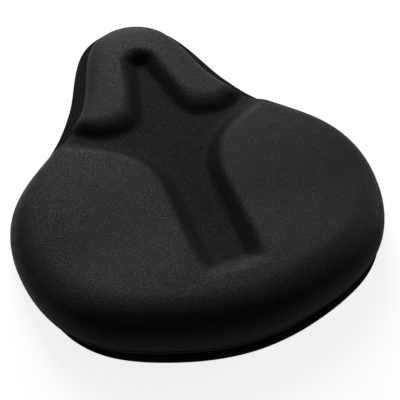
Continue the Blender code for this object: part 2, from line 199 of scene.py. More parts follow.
@dataclass(frozen=True)
class Relief:
    """Moulded relief: a sunk floor between two seat lobes and a horseshoe nose lobe."""

    floor_depth: Taper = taper(NOSE=0.0095, SHOULDER=0.0085, REAR=0.0095)
    seat_wall: float = 0.0145
    nose_wall: float = 0.0165
    wall_power: float = 2.4
    foot_softness: float = 0.15
    channel_half: float = 0.0150
    channel_end: float = 0.0520
    forward_ease: float = 1.15
    channel_corner: float = 0.0080
    lobe_front: float = 0.1240
    lobe_flare_run: float = 0.0810
    lobe_flare: float = 0.0550
    lobe_flare_power: float = 3.0
    groove_apex: float = 0.0515
    groove_tip_radius: float = 0.0044
    groove_end_radius: float = 0.0165
    groove_run: float = 0.0700
    nose_lobe_rear: float = 0.1250
    nose_lobe_straight: float = 0.0420
    nose_lobe_sweep: float = 0.0250
    nose_lobe_rise: float = 0.0120
    nose_lobe_corner: float = 0.0110
    nose_lobe_ease: float = 1.35

    def seat_lobe_distance(self, side: np.ndarray, back: np.ndarray) -> np.ndarray:
        """Distance from the seat lobes' inner edge, positive on the lobes.

        Args:
            side: Distances from the middle line.
            back: Distances back from the nose tip.

        Returns:
            Distances in the plan.
        """
        flare = np.clip((self.lobe_front - back) / self.lobe_flare_run + 1, 0, None)
        edge = self.channel_half + self.lobe_flare * flare**self.lobe_flare_power
        steep = self.lobe_flare * self.lobe_flare_power / self.lobe_flare_run
        slope = steep * flare ** (self.lobe_flare_power - 1)
        forward = slope / np.sqrt(1 + slope**2)
        from_side = (side - edge) / np.sqrt(1 + slope**2) / (1 + (self.forward_ease - 1) * forward)
        from_end = (back - (Section.REAR.value - self.channel_end)) / self.forward_ease
        return smooth_max(from_side, from_end, self.channel_corner)

    def nose_lobe_distance(self, side: np.ndarray, back: np.ndarray) -> np.ndarray:
        """Distance from the nose lobe's inner and rear edges, positive on the lobe.

        Args:
            side: Distances from the middle line.
            back: Distances back from the nose tip.

        Returns:
            Distances in the plan.
        """
        past_tip = back - self.groove_apex - self.groove_tip_radius
        flare = (self.groove_end_radius - self.groove_tip_radius) / self.groove_run
        upright = math.sqrt(1 - flare**2)
        beside = side * upright - past_tip * flare
        ahead = np.hypot(side, past_tip)
        from_groove = np.where(past_tip * upright + side * flare < 0, ahead, beside) - self.groove_tip_radius
        sweep = np.clip((side - self.nose_lobe_straight) / self.nose_lobe_sweep, 0, None)
        from_rear = (self.nose_lobe_rear - self.nose_lobe_rise * sweep**2 - back) / self.nose_lobe_ease
        return -smooth_max(-from_groove, -from_rear, self.nose_lobe_corner)

    def sink(self, side: np.ndarray, back: np.ndarray) -> np.ndarray:
        """How far the surface lies below the lobes' tops, from 0 to the floor's depth."""
        return self.floor_depth.at(back) * self.pressed(side, back)

    def pressed(self, side: np.ndarray, back: np.ndarray) -> np.ndarray:
        """How far the foam is pressed down, from 0 on a lobe to 1 on the floor.

        Args:
            side: Distances from the middle line.
            back: Distances back from the nose tip.

        Returns:
            Shares of the floor's depth.
        """
        below = 1.0
        distances = (self.seat_lobe_distance(side, back), self.nose_lobe_distance(side, back))
        for distance, width in zip(distances, (self.seat_wall, self.nose_wall)):
            climbed = smooth_max(distance / width, 0.0, self.foot_softness)
            below = below * np.clip(1 - climbed, 0, 1) ** self.wall_power
        return below


@dataclass(frozen=True)
class SeamLine:
    """The seam in plan: points, outward normals and distances back from the nose tip."""

    points: np.ndarray
    normal: np.ndarray
    back: np.ndarray

    def moved(self, reach: np.ndarray) -> np.ndarray:
        """The line moved outward by one distance, or by one for each point."""
        return self.points + self.normal * np.broadcast_to(reach, len(self.points))[:, None]


@dataclass(frozen=True)
class PadForm:
    """Outline, heights and layers that all pieces of the cushion share."""

    stations: tuple[Pair, ...] = (
        (0.0123, 0.0302),
        (0.0164, 0.0405),
        (0.0594, 0.0629),
        (0.0196, 0.0798),
        (0.0601, 0.1349),
        (0.1160, 0.1118),
        (0.0256, 0.0640),
    )
    outline_steps: tuple[int, ...] = (4, 3, 8, 5, 9, 10, 5, 4)
    detail: int = 5
    seam_height: Taper = taper(NOSE=0.0096, WAIST=0.0085, MIDDLE=0.0078, REAR=0.0113)
    lobe_height: Taper = taper(flowing=True, NOSE=0.0240, WAIST=0.0270, MIDDLE=0.0320, REAR=0.0450)
    edge_drop: Taper = taper(NOSE=0.0008, WAIST=0.0055, MIDDLE=0.0030, REAR=0.0008)
    roll_width: Taper = taper(NOSE=0.0200, FLANK=0.0110, SHOULDER=0.0170, MIDDLE=0.0260, REAR=0.0260)
    band_reach: Taper = taper(NOSE=0.0090, FLANK=0.0115, SHOULDER=0.0010, MIDDLE=-0.0070, REAR=0.0032)
    hem_inset: Taper = taper(NOSE=0.0180, WAIST=0.0240, MIDDLE=0.0420, REAR=0.0380)
    roll_softness: Taper = taper(NOSE=1.0, FLANK=1.25, SHOULDER=1.25, MIDDLE=0.9, REAR=0.9)
    relief: Relief = Relief()
    roll_crowding: float = 1.6
    rim_reach: int = 7
    rim_passes: int = 10
    spine_front: float = 0.0200
    spine_rear: float = 0.0220
    spine_lean: float = 2 / 3
    seam_pinch: float = 0.0015
    pinch_rise: float = 0.0050
    clearance: float = 0.0003
    skin_thickness: float = 0.0012
    piping_diameter: float = 0.0018
    elastic_width: float = 0.0050
    elastic_height: float = 0.0024

    @property
    def length(self) -> float:
        """Length of the pad along its seam line."""
        return Section.REAR.value

    @property
    def tip_y(self) -> float:
        """Place of the nose tip, with the whole cushion centred on the origin.

        Returns:
            The tip's place along Y.
        """
        nose_reach = self.band_reach.values[0][1]
        rear_reach = self.band_reach.values[-1][1]
        return (self.length + rear_reach - nose_reach) / 2

    def back(self, y: np.ndarray) -> np.ndarray:
        """Distances back from the nose tip."""
        return self.tip_y - np.asarray(y)

    def seam_line(self, detail: int) -> SeamLine:
        """The seam line, clockwise from the nose tip.

        Args:
            detail: How many times finer than the solid's outline it is.

        Returns:
            The line in plan.
        """
        y = self.tip_y
        right = []
        for run, half in self.stations:
            y -= run
            right.append((half, y))
        left = [(-x, y) for x, y in reversed(right)]
        points = np.array([(0.0, self.tip_y)] + right + [(0.0, self.tip_y - self.length)] + left)
        steps = tuple(step * detail for step in self.outline_steps)
        curve = closed_spline(points, steps + steps[::-1])
        tangent = np.roll(curve, -1, axis=0) - np.roll(curve, 1, axis=0)
        normal = np.column_stack((-tangent[:, 1], tangent[:, 0]))
        normal /= np.linalg.norm(normal, axis=1)[:, None]
        return SeamLine(curve, normal, self.back(curve[:, 1]))

    def top_height(self, plan: np.ndarray) -> np.ndarray:
        """Height of the moulded top over points of the plan."""
        back = self.back(plan[:, 1])
        return self.lobe_height.at(back) - self.relief.sink(np.abs(plan[:, 0]), back)

    def spine(self, line: SeamLine, rim: np.ndarray) -> np.ndarray:
        """The point on the middle line that each seam point's spoke runs back to.

        Args:
            line: The seam line.
            rim: Points where the rolled side meets the top.

        Returns:
            One point of the plan for each point of the seam line.
        """
        share = np.clip(line.back / self.length, 0, 1) ** self.spine_lean
        front = rim[:, 1].max() - self.spine_front
        rear = rim[:, 1].min() + self.spine_rear
        return np.column_stack((np.zeros(len(rim)), front + (rear - front) * share))

    def top_rows(self, detail: int, roll_rings: int, inner_rings: int) -> "Rows":
        """Rings of the skin from the seam up the rolled side and in to the spine.

        Args:
            detail: How much finer than the solid's outline the rings are.
            roll_rings: Rings on the rolled side.
            inner_rings: Rings from the rim to the spine.

        Returns:
            The rings, with the cloth's own flat coordinates.
        """
        line = self.seam_line(detail)
        low = self.seam_height.at(line.back)
        width = self.roll_width.at(line.back)
        rim = line.moved(-width)
        drop = self.edge_drop.at(line.back)
        high = self.top_height(rim) - drop
        softness = self.roll_softness.at(line.back)
        rings = []
        for angle in np.radians(90 * np.linspace(0, 1, roll_rings) ** self.roll_crowding):
            inward = width * (1 - max(np.cos(angle), 0.0) ** softness)
            rise = (high - low) * np.sin(angle) ** softness
            inward = inward + self.seam_pinch * (1 - smooth_step(rise / self.pinch_rise)) ** 2
            rings.append(np.column_stack((line.moved(-inward), low + rise)))
        spine = self.spine(line, rim)
        for share in np.linspace(0, 1, inner_rings + 1)[1:]:
            plan = rim * (1 - share) + spine * share
            height = self.top_height(plan) - drop * (1 - share) ** 2
            rings.append(np.column_stack((plan, height)))
        rows = Rows(np.array(rings), folded=True)
        rows.ease(roll_rings - 1, self.rim_reach, self.rim_passes)
        rows.lay_flat(roll_rings - 1, line.normal)
        return rows


class Rows:
    """A grid of points in closed rings, and the cloth coordinates that go with them."""

    def __init__(self, points: np.ndarray, folded: bool = False) -> None:
        """Keep the rings, with the plan as their cloth coordinates.

        Args:
            points: Rings by points by three coordinates.
            folded: Whether the last ring is folded onto the middle line.
        """
        self.points = points
        self.folded = folded
        self.cloth = points[:, :, :2].copy()

    def ease(self, centre: int, reach: int, passes: int) -> None:
        """Round a crease that runs along one ring.

        Args:
            centre: The ring with the crease.
            reach: How many rings to each side move.
            passes: How often the points are averaged.
        """
        low = max(centre - reach, 1)
        high = min(centre + reach, len(self.points) - 2)
        for _ in range(passes):
            inner = self.points[low - 1:high] + self.points[low + 1:high + 2]
            self.points[low:high + 1] = self.points[low:high + 1] / 2 + inner / 4

    def lay_flat(self, rim: int, normal: np.ndarray) -> None:
        """Give the rings cloth coordinates: the plan inside, unrolled past the rim.

        Args:
            rim: The ring where the rolled side meets the top.
            normal: Outward normals of the outline.
        """
        steps = np.linalg.norm(np.diff(self.points, axis=0), axis=2)
        self.cloth = self.points[:, :, :2].copy()
        gone = np.zeros(self.points.shape[1])
        for ring in range(rim - 1, -1, -1):
            gone += steps[ring]
            self.cloth[ring] = self.points[rim, :, :2] + normal * gone[:, None]

    def follow(self) -> None:
        """Give the rings cloth coordinates along and across the rings, in metres."""
        across = np.linalg.norm(np.diff(self.points, axis=0), axis=2).mean(axis=1)
        around = np.linalg.norm(np.roll(self.points, -1, axis=1) - self.points, axis=2).mean(axis=0)
        self.cloth[:, :, 0] = np.concatenate(((0.0,), np.cumsum(around)[:-1]))[None, :]
        self.cloth[:, :, 1] = np.concatenate(((0.0,), np.cumsum(across)))[:, None]

    def normals(self) -> np.ndarray:
        """Normals of the grid, from the steps along and across it.

        Returns:
            One unit vector for each point.
        """
        around = np.roll(self.points, -1, axis=1) - np.roll(self.points, 1, axis=1)
        across = np.gradient(self.points, axis=0)
        normal = np.cross(around, across)
        length = np.linalg.norm(normal, axis=2)[:, :, None]
        return normal / np.maximum(length, 1e-12)

    def mesh(self, name: str, facing: int, closed_across: bool = False) -> Mesh:
        """Lay four-sided faces over the grid.

        Args:
            name: The mesh's name.
            facing: 1 or -1 for a sheet that looks up or down, 0 for a closed body.
            closed_across: Whether the last ring joins the first one.

        Returns:
            The smooth shaded mesh, with its cloth coordinates as a UV map.
        """
        rings, count = self.points.shape[:2]
        index = np.arange(rings * count).reshape(rings, count)
        if self.folded:
            mirror = np.minimum(np.arange(count), count - np.arange(count))
            index[-1] = index[-1, 0] + mirror
        following = np.roll(index, -1, axis=0) if closed_across else index[1:]
        outer = index if closed_across else index[:-1]
        faces = np.stack((
            outer,
            np.roll(outer, -1, axis=1),
            np.roll(following, -1, axis=1),
            following,
        ), axis=-1).reshape(-1, 4)
        mesh = bpy.data.meshes.new(name)
        mesh.from_pydata(self.points.reshape(-1, 3).tolist(), [], faces.tolist())
        layer = mesh.uv_layers.new(name="cloth")
        layer.data.foreach_set("uv", self.cloth.reshape(-1, 2)[faces.ravel()].astype(np.float32).ravel())
        tidy_mesh(mesh, facing)
        return mesh


def tidy_mesh(mesh: Mesh, facing: int) -> None:
    """Drop unused points, turn the faces the right way and shade them smooth.

    Args:
        mesh: The mesh to tidy.
        facing: 1 or -1 for a sheet that looks up or down, 0 for a closed body.
    """
    build = bmesh.new()
    build.from_mesh(mesh)
    loose = [point for point in build.verts if not point.link_faces]
    bmesh.ops.delete(build, geom=loose, context="VERTS")
    bmesh.ops.recalc_face_normals(build, faces=build.faces)
    if facing:
        looks = sum(face.normal.z * face.calc_area() for face in build.faces)
        if looks * facing < 0:
            bmesh.ops.reverse_faces(build, faces=build.faces)
    build.to_mesh(mesh)
    build.free()
    mesh.shade_smooth()


def welded_mesh(name: str, sheets: list[Mesh]) -> Mesh:
    """One closed mesh from sheets whose edges meet.

    Args:
        name: The new mesh's name.
        sheets: The sheets, which are removed.

    Returns:
        The closed mesh.
    """
    build = bmesh.new()
    for sheet in sheets:
        build.from_mesh(sheet)
        bpy.data.meshes.remove(sheet)
    bmesh.ops.remove_doubles(build, verts=build.verts, dist=WELD_DISTANCE)
    mesh = bpy.data.meshes.new(name)
    build.to_mesh(mesh)
    build.free()
    tidy_mesh(mesh, 0)
    return mesh


def tube_faces(first: int, rings: int, sides: int) -> list[list[int]]:
    """Faces of a tube whose rings of points follow each other, with both ends closed.

    Args:
        first: Number of the first ring's first point.
        rings: How many rings it has.
        sides: How many points each ring has.

    Returns:
        Point numbers of each face.
    """
    faces = []
    last = first + (rings - 1) * sides
    for low in range(first, last, sides):
        for i in range(sides):
            ahead = (i + 1) % sides
            faces.append([low + i, low + ahead, low + sides + ahead, low + sides + i])
    faces.append([first + i for i in reversed(range(sides))])
    faces.append([last + i for i in range(sides)])
    return faces


def tube_mesh(name: str, points: list, faces: list[list[int]]) -> Mesh:
    """A mesh of closed tubes, with the plan as its cloth coordinates.

    Args:
        name: The mesh's name.
        points: Three coordinates of each point.
        faces: Point numbers of each face.

    Returns:
        The smooth shaded mesh.
    """
    mesh = bpy.data.meshes.new(name)
    mesh.from_pydata(points, [], faces)
    layer = mesh.uv_layers.new(name="cloth")
    plan = [points[corner][:2] for face in faces for corner in face]
    layer.data.foreach_set("uv", np.array(plan, np.float32).ravel())
    tidy_mesh(mesh, 0)
    return mesh


def store(mesh: Mesh, name: str, values: np.ndarray) -> None:
    """Keep a number for each point of a mesh, for its material to read."""
    layer = mesh.attributes.new(name, "FLOAT", "POINT")
    layer.data.foreach_set("value", values.ravel().astype(np.float32))


def place(name: str, mesh: Mesh, material: bpy.types.Material) -> bpy.types.Object:
    """Put a mesh into the scene as a piece that rides with the cushion.

    Args:
        name: The piece's name.
        mesh: Its mesh, in the frame's own metres.
        material: Its finish.

    Returns:
        The new piece.
    """
    item = bpy.data.objects.new(name, mesh)
    item.data.materials.append(material)
    bpy.context.scene.collection.objects.link(item)
    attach(item, BODY)
    LOG.info("%s: %d faces", name, len(mesh.polygons))
    return item


def thicken(item: bpy.types.Object, thickness: float) -> None:
    """Give a sheet its thickness on the side that its faces turn away from.

    Args:
        item: The sheet.
        thickness: Its thickness.
    """
    solidify = item.modifiers.new("thickness", "SOLIDIFY")
    solidify.thickness = thickness
    solidify.offset = -1
    solidify.use_even_offset = False


class Nodes:
    """Adds and joins the nodes of one tree."""

    def __init__(self, tree: bpy.types.NodeTree) -> None:
        """Keep the tree."""
        self.tree = tree

    def node(self, kind: str, **inputs: object) -> bpy.types.Node:
        """Add a node and fill its inputs.

        Args:
            kind: The node's type.
            inputs: Input names, with _ for spaces, and a number or a socket for each.

        Returns:
            The new node.
        """
        made = self.tree.nodes.new(kind)
        for label, value in inputs.items():
            self.feed(made.inputs[label.replace("_", " ")], value)
        return made

    def feed(self, socket: Socket, value: object) -> None:
        """Link a socket into an input, or set the input to a number.

        Args:
            socket: The input.
            value: A number or a socket.
        """
        if isinstance(value, Socket):
            self.tree.links.new(value, socket)
        else:
            socket.default_value = value

    def calc(self, operation: str, first: object, second: object = 0.0) -> Socket:
        """One step of arithmetic.

        Args:
            operation: The name of the step, as Blender has it.
            first: A number or a socket.
            second: A number or a socket.

        Returns:
            The result's socket.
        """
        made = self.tree.nodes.new("ShaderNodeMath")
        made.operation = operation
        self.feed(made.inputs[0], first)
        self.feed(made.inputs[1], second)
        return made.outputs[0]

    def times(self, first: object, second: object) -> Socket:
        """The product of two numbers or sockets."""
        return self.calc("MULTIPLY", first, second)

    def plus(self, first: object, second: object) -> Socket:
        """The sum of two numbers or sockets."""
        return self.calc("ADD", first, second)

    def minus(self, first: object, second: object) -> Socket:
        """The difference of two numbers or sockets."""
        return self.calc("SUBTRACT", first, second)

    def blend(self, first: object, second: object, share: float) -> Socket:
        """The first value times a share, plus the second one times what is left of it."""
        return self.plus(self.times(first, share), self.times(second, 1 - share))

    def spread(self, value: object, low: float, high: float) -> Socket:
        """Stretch a range of numbers to 0 and 1, and hold it there."""
        return self.node("ShaderNodeMapRange", Value=value, From_Min=low, From_Max=high).outputs["Result"]


class Shade(Nodes):
    """The nodes of one Principled material."""

    def __init__(self, name: str, colour: Triple, roughness: float) -> None:
        """Start a material with its plain colour and roughness.

        Args:
            name: The material's name.
            colour: Its mean colour.
            roughness: Its roughness.
        """
        self.material = bpy.data.materials.new(name)
        self.material.use_nodes = True
        super().__init__(self.material.node_tree)
        self.shader = self.tree.nodes["Principled BSDF"]
        self.shader.inputs["Base Color"].default_value = (*colour, 1.0)
        self.shader.inputs["Roughness"].default_value = roughness
        self.material.diffuse_color = (*colour, 1.0)
        self.colour = colour

    def stored(self, name: str) -> Socket:
        """The number that the mesh keeps at each point under a name.

        Args:
            name: The number's name.

        Returns:
            Its socket.
        """
        made = self.node("ShaderNodeAttribute")
        made.attribute_name = name
        return made.outputs["Fac"]

    def cloth(self) -> tuple[Socket, Socket]:
        """The cloth's flat coordinates in metres."""
        split = self.node("ShaderNodeSeparateXYZ", Vector=self.node("ShaderNodeTexCoord").outputs["UV"])
        return split.outputs["X"], split.outputs["Y"]

    def grain(self, size: float, layers: float) -> Socket:
        """Random grain from 0 to 1, with spots of a size in metres and finer layers on them."""
        place_in = self.node("ShaderNodeTexCoord").outputs["Object"]
        return self.node("ShaderNodeTexNoise", Vector=place_in, Scale=1 / size, Detail=layers).outputs["Fac"]

    def patches(self, size: float, layers: float, floor: float) -> Socket:
        """Random grain whose values from a floor to as far below 1 fill the range from 0 to 1."""
        return self.spread(self.grain(size, layers), floor, 1 - floor)

    def wave(self, place_on: object, pitch: float, shift: object = 0.0) -> Socket:
        """A smooth ripple from 0 to 1.

        Args:
            place_on: The coordinate that it runs along.
            pitch: Its length.
            shift: How far it is moved, in pitches.

        Returns:
            The ripple's socket.
        """
        turns = self.plus(self.calc("DIVIDE", place_on, pitch), shift)
        ripple = self.calc("SINE", self.times(turns, 2 * math.pi))
        return self.plus(self.times(ripple, 0.5), 0.5)

    def tint(self, amount: object, dark: float, light: float) -> None:
        """Vary the colour between a darker and a lighter share of itself.

        Args:
            amount: A socket from 0 to 1.
            dark: The share of the colour at 0.
            light: The share of the colour at 1.
        """
        mix = self.tree.nodes.new("ShaderNodeMix")
        mix.data_type = "RGBA"
        self.feed(mix.inputs[0], amount)
        for socket in mix.inputs:
            if socket.type == "RGBA" and socket.name in ("A", "B"):
                share = dark if socket.name == "A" else light
                socket.default_value = (*(share * part for part in self.colour), 1.0)
        colour = next(socket for socket in mix.outputs if socket.type == "RGBA")
        self.tree.links.new(colour, self.shader.inputs["Base Color"])

    def emboss(self, height: object, depth: float, strength: float = 1.0) -> None:
        """Raise the surface by a pattern, over any relief that it has already.

        Args:
            height: A socket from 0 to 1.
            depth: The pattern's depth in metres.
            strength: How much of it shows.
        """
        bump = self.node("ShaderNodeBump", Height=height, Distance=depth, Strength=strength)
        before = self.shader.inputs["Normal"].links
        if before:
            self.tree.links.new(before[0].from_socket, bump.inputs["Normal"])
        self.tree.links.new(bump.outputs["Normal"], self.shader.inputs["Normal"])


@dataclass(frozen=True)
class KnitFinish:
    """Fine charcoal knit, darker and rougher where the foam under it is pressed; on steep walls that face
    sideways or to the rear, out of the key light, it is rougher and darkened by painted shade.
    """

    name: str = "charcoal_knit"
    colour: Triple = (0.0400, 0.0400, 0.0408)
    shares: Pair = (0.5, 1.5)
    pressed_shade: float = 0.60
    # share of the knit's colour left on the steepest walls: painted shade
    wall_painted_shade_share: float = 0.05
    gloss: float = 0.33
    roughness: float = 0.56
    pressed_roughness: float = 0.84
    wall_roughness: float = 1.0
    wale: float = 0.0008
    course: float = 0.0006
    loop_depth: float = 0.00010
    loop_crown: float = 1.4
    loop_strength: float = 0.5
    fleck: float = 0.0011
    fleck_layers: float = 4.0
    fleck_floor: float = 0.34
    fleck_depth: float = 0.00022
    fleck_strength: float = 0.7
    fleck_gloss: float = 0.34
    fleck_share: float = 0.8
    cloud: float = 0.012
    cloud_layers: float = 2.0
    cloud_floor: float = 0.3

    def material(self) -> bpy.types.Material:
        """The knit, with its loops and flecks.

        Returns:
            The finish's material.
        """
        shade = Shade(self.name, self.colour, self.roughness)
        shade.shader.inputs["Specular IOR Level"].default_value = self.gloss
        pressed = shade.stored("pressed")
        # steep mask: walls facing sideways or to the rear get painted shade below, and more roughness
        steep = shade.stored("steep")
        across, along = shade.cloth()
        column = shade.calc("FRACT", shade.calc("DIVIDE", across, self.wale))
        fold = shade.calc("ABSOLUTE", shade.minus(column, 0.5))
        loops = shade.wave(along, self.course, fold)
        rounded = shade.minus(1.0, shade.times(fold, self.loop_crown))
        shade.emboss(shade.times(loops, rounded), self.loop_depth, self.loop_strength)
        flecks = shade.patches(self.fleck, self.fleck_layers, self.fleck_floor)
        shade.emboss(flecks, self.fleck_depth, self.fleck_strength)
        flat_rough = shade.times(pressed, self.pressed_roughness - self.roughness)
        wall_rough = shade.times(steep, self.wall_roughness - self.roughness)
        duller = shade.times(shade.minus(0.5, flecks), self.fleck_gloss)
        uneven = shade.plus(shade.plus(flat_rough, wall_rough), duller)
        shade.feed(shade.shader.inputs["Roughness"], shade.plus(uneven, self.roughness))
        clouds = shade.patches(self.cloud, self.cloud_layers, self.cloud_floor)
        mixed = shade.blend(flecks, clouds, self.fleck_share)
        flat_dark = shade.times(pressed, 1 - self.pressed_shade)
        # painted shade: steep walls out of the key light are darkened towards a twentieth of the knit's
        # colour
        painted_wall_shade = shade.times(steep, 1 - self.wall_painted_shade_share)
        kept_after_press_and_shade = shade.minus(1.0, shade.calc("MAXIMUM", flat_dark, painted_wall_shade))
        shade.tint(shade.times(mixed, kept_after_press_and_shade), *self.shares)
        return shade.material


@dataclass(frozen=True)
class RibFinish:
    """Stretch knit of the band, with fine cross threads between its ribs."""

    name: str = "ribbed_stretch_knit"
    colour: Triple = (0.034, 0.034, 0.035)
    # the low share is painted shade at the bottom of each rib valley
    shares: Pair = (0.15, 1.6)
    gloss: float = 0.25
    roughness: float = 0.85
    ladder: float = 0.0011
    ladder_lean: float = 300.0
    ladder_strength: float = 0.9
    thread_depth: float = 0.00012
    fibre: float = 0.0009
    fibre_layers: float = 4.0
    fibre_floor: float = 0.32
    fibre_strength: float = 0.8
    fibre_share: float = 0.5

    def material(self) -> bpy.types.Material:
        """The ribbed knit, with painted shade darkening the valleys between its ribs.

        Returns:
            The finish's material.
        """
        shade = Shade(self.name, self.colour, self.roughness)
        shade.shader.inputs["Specular IOR Level"].default_value = self.gloss
        along, across = shade.cloth()
        rungs = shade.wave(along, self.ladder, shade.times(across, self.ladder_lean))
        shade.emboss(rungs, self.thread_depth, self.ladder_strength)
        fibres = shade.patches(self.fibre, self.fibre_layers, self.fibre_floor)
        shade.emboss(fibres, self.thread_depth, self.fibre_strength)
        # painted shade: the band's colour darkens towards the bottom of each rib valley
        unshaded_share = shade.minus(1.0, shade.stored("rib_valley_shade"))
        shade.tint(shade.times(unshaded_share, shade.blend(fibres, 1.0, self.fibre_share)), *self.shares)
        return shade.material


@dataclass(frozen=True)
class CordFinish:
    """Matte binding of the seam, twisted from two strands, its grey far paler than the knit as a painted
    highlight along the seam edge.
    """

    name: str = "seam_cord_painted_highlight"
    # pale grey: a painted highlight for the light line along the seam edge
    colour: Triple = (0.150, 0.150, 0.153)
    shares: Pair = (0.7, 1.25)
    roughness: float = 0.72
    twist: float = 0.0018
    lay: float = 1.5
    depth: float = 0.00012

    def material(self) -> bpy.types.Material:
        """The corded binding.

        Returns:
            The finish's material.
        """
        shade = Shade(self.name, self.colour, self.roughness)
        along, around = shade.cloth()
        strands = shade.wave(along, self.twist, shade.calc("DIVIDE", around, self.twist * self.lay))
        shade.emboss(strands, self.depth)
        shade.tint(strands, *self.shares)
        return shade.material


@dataclass(frozen=True)
class WovenFinish:
    """Plain woven tape, used for the webbing straps and the elastic's casing."""

    name: str
    colour: Triple
    shares: Pair = (0.55, 1.6)
    roughness: float = 0.68
    sheen: float = 0.15
    thread: float = 0.0010
    weft_share: float = 1.6
    depth: float = 0.00018
    fibre: float = 0.0005
    fibre_layers: float = 4.0
    fibre_strength: float = 0.6
    weave_share: float = 0.6

    def material(self) -> bpy.types.Material:
        """The woven tape.

        Returns:
            The finish's material.
        """
        shade = Shade(self.name, self.colour, self.roughness)
        shade.shader.inputs["Sheen Weight"].default_value = self.sheen
        along, across = shade.cloth()
        warp = shade.wave(across, self.thread)
        column = shade.calc("ROUND", shade.calc("DIVIDE", across, self.thread))
        weave = shade.times(warp, shade.wave(along, self.thread * self.weft_share, column))
        shade.emboss(weave, self.depth)
        fibres = shade.grain(self.fibre, self.fibre_layers)
        shade.emboss(fibres, self.depth / 2, self.fibre_strength)
        shade.tint(shade.blend(weave, fibres, self.weave_share), *self.shares)
        return shade.material


@dataclass(frozen=True)
class PileFinish:
    """Cloth or foam with a random surface, such as loop pile, lining or open cells."""

    name: str
    colour: Triple
    roughness: float
    spot: float
    depth: float
    sheen: float = 0.0
    shares: Pair = (0.65, 1.35)
    cell_range: Pair = (0.1, 0.7)
    grain_layers: float = 4.0
    grain_strength: float = 0.6

    def material(self) -> bpy.types.Material:
        """The random pile or cell surface.

        Returns:
            The finish's material.
        """
        shade = Shade(self.name, self.colour, self.roughness)
        shade.shader.inputs["Sheen Weight"].default_value = self.sheen
        place_in = shade.node("ShaderNodeTexCoord").outputs["Object"]
        cells = shade.node("ShaderNodeTexVoronoi", Vector=place_in, Scale=1 / self.spot).outputs["Distance"]
        shade.emboss(cells, self.depth)
        shade.emboss(shade.grain(self.spot / 2, self.grain_layers), self.depth, self.grain_strength)
        shade.tint(shade.spread(cells, *self.cell_range), *self.shares)
        return shade.material


@dataclass(frozen=True)
class GrainFinish:
    """A plain finish with a fine grain and soft clouds, such as rubber or sewing thread."""

    name: str
    colour: Triple
    roughness: float
    spot: float
    depth: float
    strength: float
    cloud: float
    shares: Pair
    spot_layers: float = 3.0
    cloud_layers: float = 2.0

    def material(self) -> bpy.types.Material:
        """The grained surface.

        Returns:
            The finish's material.
        """
        shade = Shade(self.name, self.colour, self.roughness)
        shade.emboss(shade.grain(self.spot, self.spot_layers), self.depth, self.strength)
        shade.tint(shade.grain(self.cloud, self.cloud_layers), *self.shares)
        return shade.material


RUBBER = GrainFinish("grip_rubber", (0.018, 0.018, 0.019), 0.42, 0.0008, 0.00005, 0.6, 0.003, (0.8, 1.2))
THREAD = GrainFinish("sewing_thread", (0.045, 0.045, 0.047), 0.55, 0.0004, 0.00006, 0.8, 0.002, (0.8, 1.25))


@dataclass(frozen=True)
class Stitch:
    """A thread stitch: a closed body, thinner at its ends, that arches off the cloth."""

    lift: float
    length: float = 0.0030
    gap: float = 0.0011
    radius: float = 0.00022
    end_share: float = 0.35
    rings: int = 6
    sides: int = 6

    def mesh(self, name: str, paths: list[np.ndarray]) -> Mesh:
        """Separate stitches that follow lines on the cloth.

        Args:
            name: The mesh's name.
            paths: Lines of points that the stitches follow.

        Returns:
            One mesh of closed stitches.
        """
        steps = np.linspace(0, 1, self.rings)
        turns = np.linspace(0, 2 * np.pi, self.sides, endpoint=False)
        points, faces = [], []
        for path in paths:
            gone = np.concatenate(((0.0,), np.cumsum(np.linalg.norm(np.diff(path, axis=0), axis=1))))
            for start in np.arange(self.gap, gone[-1] - self.length, self.length + self.gap):
                places = start + self.length * steps
                line = np.column_stack([np.interp(places, gone, path[:, axis]) for axis in range(3)])
                line[:, 2] += self.lift * np.sin(np.pi * steps)
                along = (line[-1] - line[0]) / np.linalg.norm(line[-1] - line[0])
                side = np.cross(along, (0.0, 0.0, 1.0))
                side /= np.linalg.norm(side)
                rise = np.cross(side, along)
                faces.extend(tube_faces(len(points), self.rings, self.sides))
                for spot, share in zip(line, steps):
                    full = math.sin(math.pi * share) ** 0.5
                    thick = self.radius * (self.end_share + (1 - self.end_share) * full)
                    ring = spot + thick * (np.outer(np.cos(turns), side) + np.outer(np.sin(turns), rise))
                    points.extend(ring.tolist())
        return tube_mesh(name, points, faces)


